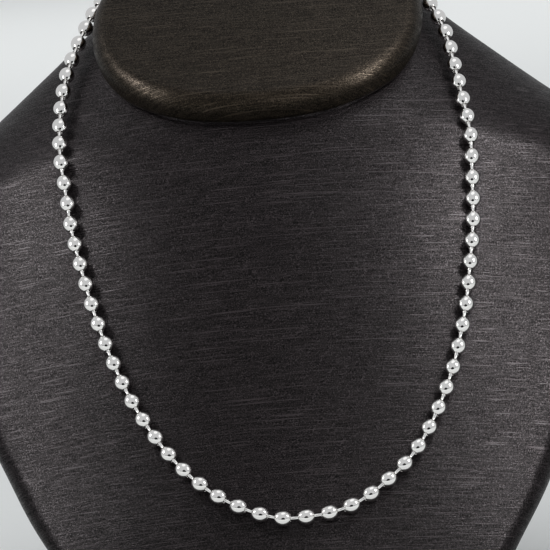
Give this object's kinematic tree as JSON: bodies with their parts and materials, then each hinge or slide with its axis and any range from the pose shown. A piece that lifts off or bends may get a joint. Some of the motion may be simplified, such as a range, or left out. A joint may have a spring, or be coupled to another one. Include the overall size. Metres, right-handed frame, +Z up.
{
  "type": "ball chain necklace on neck bust",
  "caption": "Polished ball chain necklace of hollow round beads joined by dumbbell links, worn by a plain leatherette-covered neck bust with a padded neck cap.",
  "frame": {"origin": "on the surface that the foot stands on, under the middle of the whole object's box", "axes": "+X to the right of someone facing the bust, +Y from the chest to the nape, +Z up"},
  "size_m": [0.2078, 0.1342, 0.1864],
  "materials": {
    "bust_leatherette": "brushed black leatherette, satin",
    "pad_leatherette": "brushed black leatherette over padding, satin",
    "polished_beads": "mirror polished white metal",
    "polished_links": "bright drawn wire",
    "polished_clasp": "mirror polished white metal"
  },
  "bodies": {
    "root": {"bust_body": "bust_leatherette", "neck_pad": "pad_leatherette", "chain_beads": "polished_beads", "chain_links": "polished_links", "clasp": "polished_clasp"}
  },
  "joints": []
}
